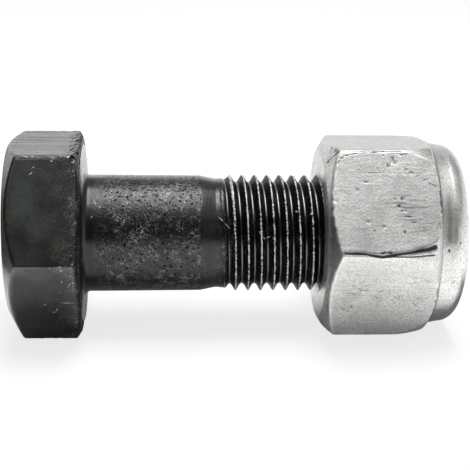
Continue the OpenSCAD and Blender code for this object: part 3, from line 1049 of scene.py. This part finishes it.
def head_skin(s):
    """The head: flat end, chamfer, flats, relieved corners and washer face."""
    angles = hexagon_angles(s.head_af / 2, s.head_bend, *HEAD_GRID)
    r = hexagon_radius(angles, s.head_af / 2, s.head_bend)
    rim = s.head_rim_d / 2 + s.rim_shift * np.cos(angles - RIM_SHIFT_AT)
    lean = s.end_lean * (1 - np.cos(angles - END_LEAN_AT)) / 2
    back = np.maximum((r - s.relief_d / 2) * math.tan(s.relief), LEAST_RELIEF)
    rows = [
        (s.end_lean / 2 - s.head_h, 0),
        (lean - s.head_h, rim),
        ((r - rim) * math.tan(s.chamfer) - s.head_h, r),
        (-s.washer_h - back, r),
        (-s.washer_h, np.minimum(r - FACE_INSET, s.relief_d / 2)),
        (-s.washer_h, s.washer_d / 2),
        (0, s.washer_d / 2),
        (0, s.shank_d / 2 + s.fillet - FILLET_OVERLAP),
    ]
    return turned_skin(angles, rows, HEAD_BENDS, HEAD_STEPS)


def shank_skin(s, t):
    """Fillet, shank, taper, neck, thread and chamfered tip, as one skin that follows the thread."""
    thread_from = s.shank_l + s.taper + s.neck

    def radius_at(x, from_crest):
        shank = s.shank_d / 2 - s.shank_draft / 2 * np.clip(x / s.shank_l, 0, 1)
        inside = np.clip(s.fillet - x, 0, s.fillet)
        shank = shank + s.fillet - np.sqrt(s.fillet**2 - inside**2)
        along = np.clip((x - s.shank_l) / s.taper, 0, 1)
        ease = (1 - TAPER_EASE) * along + TAPER_EASE * (1 - np.cos(math.pi * along)) / 2
        lip = s.lip * np.exp(-(((x - thread_from + LIP_BEFORE) / LIP_WIDTH) ** 2))
        plain = shank + (s.blank_d / 2 - shank) * ease + lip
        begun = np.clip((x - thread_from) / s.run_out, 0, 1)
        crest_w = t.crest_w + s.first_crest_w * (1 - begun)
        thread = thread_radius(from_crest, t.crest_d / 2, t.root_d / 2, crest_w, ROOT_BEND)
        return np.minimum(plain + (thread - plain) * begun, s.tip_d / 2 + s.length - x)

    return helical_skin(t, 0, s.length, THREAD_TURN_STEPS, radius_at)


def tip_skin(s):
    """The flat end of the tip."""
    angles = np.linspace(0, FULL_TURN, THREAD_TURN_STEPS, endpoint=False) - math.pi / 2
    radii = np.linspace(s.tip_d / 2, 0, TIP_RINGS)
    outlines = np.stack([np.full_like(radii, s.length), radii], axis=-1)
    return around_axis(angles, np.repeat(outlines[None], len(angles), axis=0))


def nut_skin(s):
    """The nut outside, from its mouth over hexagon and collar to the pocket's inner end."""
    face, collar, corner = s.face_d / 2, s.collar_d / 2, s.af / 2 / math.cos(HALF_SECTOR)
    angles = hexagon_angles(s.af / 2, s.bend, *NUT_GRID)
    r = hexagon_radius(angles, s.af / 2, s.bend)
    angles = angles + s.turn
    crown_to = s.hex_h - s.shoulder_l
    crown_from = crown_to - s.crown_l
    drop = s.crown_drop - s.crown_shift * np.cos(angles - CROWN_SHIFT_AT)
    crowned = corner - drop
    on_crown = r > crowned
    leave = np.where(
        on_crown,
        crown_from + s.crown_l * np.sqrt(np.clip((corner - r) / drop, 0, 1)),
        crown_to + s.shoulder_l * (crowned - r) / (crowned - collar),
    )
    rows = [(0, s.mouth_d / 2), (0, face), ((r - face) * math.tan(s.chamfer), r), (leave, r)]
    for along in CROWN_SHARES:
        x, eased = leave + np.maximum(crown_to - leave, 0) * along, CROWN_EASE * along
        y = np.where(on_crown, corner - drop * ((x - crown_from) / s.crown_l) ** 2, r + (collar - r) * eased)
        rows.append((x + (s.hex_h - x) * eased * (r <= crowned), y))
    straight = s.hex_h + s.collar_l
    start, end = collar - s.collar_draft / 2, s.roll_d / 2
    rows += [(s.hex_h, collar), (straight, start)]
    for step in np.linspace(0, math.pi / 2, ROLL_STEPS + 1)[1:]:
        rows.append((straight + s.roll_l * math.sin(step), end + (start - end) * math.cos(step)))
    top, pocket = straight + s.roll_l, s.pocket_d / 2
    pocket_to, pocket_from = top - s.lip_h, thread_depth(s)
    rows += [(top, s.lip_d / 2), (pocket_to, s.lip_d / 2)]
    rows += [(pocket_to, pocket), (pocket_from, pocket), (pocket_from, POCKET_INNER_R)]
    return turned_skin(angles, rows, NUT_BENDS, NUT_STEPS, s.at, 3)


def thread_depth(s):
    """How far into the nut its thread reaches, from the mouth to the ring's pocket."""
    return s.hex_h + s.collar_l + s.roll_l - s.lip_h - s.pocket_h


def nut_thread_radius(t, from_crest):
    """Radius of the nut's thread: the bolt's, further out by the play."""
    return thread_radius(from_crest, t.crest_d / 2 + t.play, t.root_d / 2 + t.play, t.crest_w, CREST_BEND)


def nut_thread_skin(s, t):
    """The nut's thread with its countersunk mouth, facing the axis."""

    def radius_at(x, from_crest):
        return np.maximum(nut_thread_radius(t, from_crest), s.mouth_d / 2 - (x - s.at))

    points, faces = helical_skin(t, s.at, s.at + thread_depth(s), NUT_TURN_STEPS, radius_at)
    return points, faces[:, ::-1]


def pocket_floor_skin(s, t):
    """The narrow wall between the thread's end and the pocket."""
    x = s.at + thread_depth(s)
    turn = np.arange(FLOOR_TURN_STEPS) / FLOOR_TURN_STEPS
    inner = nut_thread_radius(t, nearest_crest(x - t.first_crest - t.pitch * turn, t.pitch))
    radii = np.stack([np.full_like(inner, THREAD_WALL_R), inner], axis=-1)
    outlines = np.stack([np.full_like(radii, x), radii], axis=-1)
    return around_axis(turn * FULL_TURN - math.pi / 2, outlines)


def ring_skin(s, nut):
    """The ring: a turned outline with softened edges, closed on itself."""
    bore, outer, h, e = s.bore_d / 2, s.outer_d / 2, s.height, s.edge
    seam = (0, (bore + outer) / 2)
    rows = [seam, (0, outer), (h, outer), (h, bore + e), (h - e, bore), (e, bore), (0, bore + e), seam]
    angles = np.linspace(0, FULL_TURN, RING_TURN_STEPS, endpoint=False)
    return turned_skin(angles, rows, RING_BENDS, RING_STEPS, nut.at + thread_depth(nut) + s.gap)


class BuildBolt(bpy.types.Operator):
    """Build the black bolt: head, shank and rolled thread"""

    bl_idname = "fastener.build_bolt"
    bl_label = "Build the bolt"

    def execute(self, context):
        scene = context.scene
        s, t = scene.bolt_sizes, scene.thread_sizes
        mesh = new_mesh("bolt_body", [head_skin(s), shank_skin(s, t), tip_skin(s)])
        self.mark_finish(mesh, s)
        self.mark_thread(mesh, s, t)
        wear_mesh(mesh, 0.0, BOLT_WAVES, BOLT_CHIPS, BOLT_SEED)
        place_piece(mesh, "bolt", ["bolt"], black_steel(scene.finishes, s))
        return {"FINISHED"}

    def mark_finish(self, mesh, s):
        """Keeps where the finish is speckled, hazy, stained, scored, flecked and worn off its edges."""
        co = vectors_of(mesh.vertices, "co")
        turn = round_axis(co)[0]
        x, around = co[:, 0] / MM, np.degrees(turn) % 360
        on_head = x < 0
        haze = np.interp(x, *HAZE_ALONG_BOLT) * np.where(on_head, np.interp(around, *HAZE_ROUND_HEAD), 1)
        top = np.interp(co[:, 2] / MM, *TOP_FLAT) * on_head
        from_corner = np.abs((turn + HALF_SECTOR) % SECTOR - HALF_SECTOR) * s.head_af / 2 / MM
        by_corner = np.interp(x, *FLECKS_BY_CORNER) * np.exp(-((from_corner / CORNER_REACH) ** 2))
        keep(
            mesh,
            speck=np.interp(x, *SPECKS_ALONG_BOLT),
            haze=haze + on_head * dent(co, HEAD_PATCHES)[1],
            stain=on_head * dent(co, HEAD_STAINS)[1],
            score=top,
            hatch=top * np.interp(x, *HATCH_ALONG_HEAD),
            fleck=np.maximum(by_corner, np.interp(x, *FLECKS_BY_RIM)),
        )
        in_front = on_head & (np.abs(turn % FULL_TURN - math.pi) < FRONT_CORNER)
        wear = np.interp(x, *WEAR_ALONG_BOLT) * np.where(in_front, np.interp(x, *WEAR_ALONG_FRONT_EDGE), 1)
        mark_edges(mesh, np.where(x < 1, HEAD_EDGE_R, SHANK_EDGE_R), wear)

    def mark_thread(self, mesh, s, t):
        """Keeps which points lie on the thread's crests, flanks and roots, with the roots' painted
        reflection, and on the bare face.
        """
        co = vectors_of(mesh.vertices, "co")
        x, (turn, radius) = co[:, 0], round_axis(co)
        around, turned = np.degrees(turn) % 360, (turn + math.pi / 2) % FULL_TURN / FULL_TURN
        from_crest = nearest_crest(x - t.first_crest - t.pitch * turned, t.pitch)
        begun = (x - s.shank_l - s.taper - s.neck) / MM
        outside = np.clip((radius - s.tip_d / 2) / (MARK_FADE * MM), 0, 1)
        threaded = np.clip((begun - MARK_FADE) / MARK_FADE, 0, 1) * outside
        wider = s.first_crest_w * np.clip(1 - begun * MM / (FIRST_MARK * s.run_out), 0, 1)
        crest = np.clip(((t.crest_w + wider) / 2 - from_crest) / LINE_FADE + CREST_SPREAD, 0, 1) * threaded
        root = np.clip((from_crest - t.pitch / 2) / LINE_FADE + ROOT_SPREAD, 0, 1) * threaded
        crest *= (x < s.length - WEAR_BEFORE_TIP) * CREST_WEAR
        edge = np.minimum(attribute_values(mesh, "edge"), np.where(threaded > 0, CREST_WEAR, 1))
        under_head = np.abs(x - BAND_AT) < BAND_HALF
        on_face = (np.abs(x) < FACE_REACH) & (radius > s.shank_d / 2 + s.fillet / 2)
        keep(
            mesh,
            edge=np.maximum(edge, crest),
            # Painted reflection on the roots, brighter or darker by the angle.
            root=root * np.interp(around, *ROOT_SHEEN_ROUND_BOLT),
            flank=np.maximum(threaded * np.clip(1 - crest - root, 0, 1), under_head),
            bare=on_face * np.interp(around, *BARE_ROUND_FACE),
        )


class BuildLockNut(bpy.types.Operator):
    """Build the zinc-plated lock nut: hexagon, rolled collar and thread"""

    bl_idname = "fastener.build_lock_nut"
    bl_label = "Build the lock nut"

    def execute(self, context):
        scene = context.scene
        s, t = scene.nut_sizes, scene.thread_sizes
        mesh = new_mesh("lock_nut_body", [nut_skin(s), nut_thread_skin(s, t), pocket_floor_skin(s, t)])
        mark_edges(mesh, NUT_EDGE_R)
        co = vectors_of(mesh.vertices, "co")
        along, (turn, radius) = (co[:, 0] - s.at) / MM, round_axis(co)
        around, outside = np.degrees(turn) % 360, radius > s.collar_d / 2 - OUTSIDE_FROM
        pressed = self.damage(mesh, s, co, along, around, outside)
        off_chamfer = np.abs(along - (radius - s.face_d / 2) * math.tan(s.chamfer) / MM)
        turned = np.clip(2 - off_chamfer / TURNED_HALF, 0, 1) * np.interp(around, *TURNED_ROUND_NUT)
        # Painted reflection: dark streaks round the collar, kept with the dull chamfer band.
        for place, width, *window in COLLAR_REFLECTION_STREAKS:
            reflection_streak = np.exp(-(((along - place) / width) ** 2)) * np.interp(around, *window)
            turned = np.maximum(turned, reflection_streak)
        cracked = np.interp(around, *CRACKED_ROUND_NUT) * np.interp(along, *CRACKED_ALONG_NUT)
        brushed = dent(co, NUT_BRUSHED, s.at)[1]
        keep(mesh, turned=turned * outside, brushed=brushed, cracked=cracked * outside)
        wear_mesh(mesh, pressed, NUT_WAVES, NUT_CHIPS, NUT_SEED)
        place_piece(mesh, "nut", ["lock_nut"], zinc_plate(scene.finishes, s))
        return {"FINISHED"}

    def damage(self, mesh, s, co, along, around, outside):
        """How far dents, folds and torn metal press each point in. Keeps where they lie, too, with painted
        shade along the folds and beside the collar.
        """
        pressed, marked = dent(co, NUT_DENTS, s.at)
        pressed *= s.dent_share
        # Painted shade: a dark line beside the collar and darkening along the folds.
        beside_collar = (along - s.hex_h / MM - GROOVE_AT) / GROOVE_WIDTH
        creased = outside * GROOVE_SHADE * np.exp(-(beside_collar**2))
        for path in NUT_FOLDS:
            folded, in_fold = fold(co, path, s.at)
            pressed, creased = pressed + folded, np.maximum(creased, in_fold)
        torn = np.exp(-(((around - TORN_AT) / TORN_HALF) ** 2)) * np.interp(along, *TORN_ALONG) * outside
        torn *= np.clip(3 * roughness_field(co, TORN_GRAIN, 3, TORN_SEED) - 1.2, 0, 1)
        keep(mesh, crease=np.maximum(creased, torn / 2), mark=marked)
        return pressed + TORN_DEPTH * torn


class BuildNylonRing(bpy.types.Operator):
    """Build the nylon ring inside the nut's collar"""

    bl_idname = "fastener.build_nylon_ring"
    bl_label = "Build the nylon ring"

    def execute(self, context):
        scene = context.scene
        mesh = new_mesh("nylon_ring_body", [ring_skin(scene.ring_sizes, scene.nut_sizes)])
        place_piece(mesh, "nylon_ring", ["nylon_ring"], pale_nylon(scene.finishes))
        return {"FINISHED"}


def stage_plane(name, centre, plane, half_width, half_height, material):
    """A rectangle that belongs to the stage and not to the part."""
    centre, across, upwards = Vector(centre), Vector(plane[0]) * half_width, Vector(plane[1]) * half_height
    corners = [centre + across * a + upwards * b for a, b in ((-1, -1), (1, -1), (1, 1), (-1, 1))]
    mesh = bpy.data.meshes.new(name)
    mesh.from_pydata([tuple(c) for c in corners], [], [(0, 1, 2, 3)])
    mesh.materials.append(material)
    plane = bpy.data.objects.new(name, mesh)
    bpy.context.scene.collection.objects.link(plane)
    return plane


def glow(tree, brightness):
    return add_node(tree, "ShaderNodeEmission", {"Color": WHITE, "Strength": brightness}).outputs[0]


def floor_material():
    """White floor: plain paint as a surface, and nearly white to the camera, so its shadow stays soft."""
    material = bpy.data.materials.new("floor_white")
    tree = emptied(material)
    paint = add_node(tree, "ShaderNodeBsdfDiffuse", {"Color": FLOOR_PAINT}).outputs[0]
    seen = times(add_node(tree, "ShaderNodeLightPath").outputs["Is Camera Ray"], FLOOR_WHITE)
    mix = add_node(tree, "ShaderNodeMixShader", {0: seen, 1: paint, 2: glow(tree, 1.0)})
    add_node(tree, "ShaderNodeOutputMaterial", {"Surface": mix.outputs[0]})
    return material


def cloth_material(name, brightness):
    material = bpy.data.materials.new(name)
    tree = emptied(material)
    add_node(tree, "ShaderNodeOutputMaterial", {"Surface": glow(tree, brightness)})
    return material


def white_surround(strength):
    """World: white to the camera and in reflections, and a weaker, even light otherwise."""
    world = bpy.data.worlds.new("white_studio")
    bpy.context.scene.world = world
    tree = emptied(world)
    path = add_node(tree, "ShaderNodeLightPath")
    seen = highest(*[path.outputs[f"Is {kind} Ray"] for kind in ("Camera", "Glossy", "Transmission")])
    level = between(seen, 0.0, 1.0, strength, 1.0)
    back = add_node(tree, "ShaderNodeBackground", {"Color": WHITE, "Strength": level})
    add_node(tree, "ShaderNodeOutputWorld", {"Surface": back.outputs[0]})


class BuildStage(bpy.types.Operator):
    """Set up the white floor and surroundings, the softbox and the camera"""

    bl_idname = "fastener.build_stage"
    bl_label = "Build the stage"

    def execute(self, context):
        scene = context.scene
        s = scene.stage_settings
        scene.view_settings.view_transform = "Standard"
        stage_plane("floor", (FLOOR_AT, 0, s.floor_z), FLAT, FLOOR_HALF, FLOOR_HALF, floor_material())
        for name, *place, grey in CLOTHS:
            # A grey cloth that is lit evenly, and that only the metal sees; the shades under shank and collar
            # are painted shadow.
            cloth = stage_plane(name, *place, cloth_material(name, getattr(s, grey)))
            cloth.visible_camera = cloth.visible_diffuse = cloth.visible_shadow = False
        white_surround(s.surround)
        self.add_lamp(scene, "softbox", s.softbox_power)
        self.add_lamp(scene, "fill", s.fill_power).visible_glossy = False
        self.add_camera(scene, s)
        return {"FINISHED"}

    def add_lamp(self, scene, name, energy):
        """A rectangular lamp overhead, a little behind the bolt and towards its tip."""
        light = bpy.data.lights.new(name, "AREA")
        light.shape = "RECTANGLE"
        light.size, light.size_y = LAMP_SIZE
        light.energy = energy
        lamp = bpy.data.objects.new(name, light)
        lamp.location = LAMP_PLACE
        scene.collection.objects.link(lamp)
        return lamp

    def add_camera(self, scene, s):
        """A camera that looks down at the bolt from the side, turned a little towards the tip."""
        e = s.elevation
        right, back = Vector((1, 0, 0)), Vector((0, -math.cos(e), math.sin(e)))
        up = Vector((0, math.sin(e), math.cos(e)))
        turned = right * math.cos(s.yaw) + back * math.sin(s.yaw)
        forward = right * math.sin(s.yaw) - back * math.cos(s.yaw)
        x = turned * math.cos(s.roll) + up * math.sin(s.roll)
        y = up * math.cos(s.roll) - turned * math.sin(s.roll)
        data = bpy.data.cameras.new("camera")
        data.sensor_fit, data.sensor_width, data.lens = "HORIZONTAL", SENSOR_WIDTH, s.lens
        data.clip_start, data.clip_end = NEAREST, FURTHEST
        camera = bpy.data.objects.new("camera", data)
        place = Matrix((x, y, -forward)).transposed().to_4x4()
        place.translation = right * s.side + back * s.distance + up * s.lift
        camera.matrix_world = place
        scene.collection.objects.link(camera)
        scene.camera = camera


class BoltPanel(bpy.types.Panel):
    """Sizes, finishes and the buttons that build each piece"""

    bl_idname = "VIEW3D_PT_bolt"
    bl_label = "Bolt and lock nut"
    bl_space_type = "VIEW_3D"
    bl_region_type = "UI"
    bl_category = "Bolt"

    def draw(self, context):
        for operator in OPERATORS:
            self.layout.operator(operator.bl_idname)
        for title, group in SETTINGS:
            box = self.layout.box()
            box.label(text=group.__doc__)
            values = getattr(context.scene, title)
            for key in group.__annotations__:
                box.prop(values, key)


OPERATORS = (BuildBolt, BuildLockNut, BuildNylonRing, BuildStage)
SETTINGS = (
    ("thread_sizes", ThreadSizes),
    ("bolt_sizes", BoltSizes),
    ("nut_sizes", NutSizes),
    ("ring_sizes", RingSizes),
    ("finishes", Finishes),
    ("stage_settings", StageSettings),
)


def register():
    for title, group in SETTINGS:
        bpy.utils.register_class(group)
        setattr(bpy.types.Scene, title, bpy.props.PointerProperty(type=group))
    for made in (*OPERATORS, BoltPanel):
        bpy.utils.register_class(made)


def unregister():
    for made in (BoltPanel, *reversed(OPERATORS)):
        bpy.utils.unregister_class(made)
    for title, group in reversed(SETTINGS):
        delattr(bpy.types.Scene, title)
        bpy.utils.unregister_class(group)


def main():
    register()
    bpy.ops.fastener.build_bolt()
    bpy.ops.fastener.build_lock_nut()
    bpy.ops.fastener.build_nylon_ring()
    bpy.ops.fastener.build_stage()


if __name__ == "__main__":
    main()
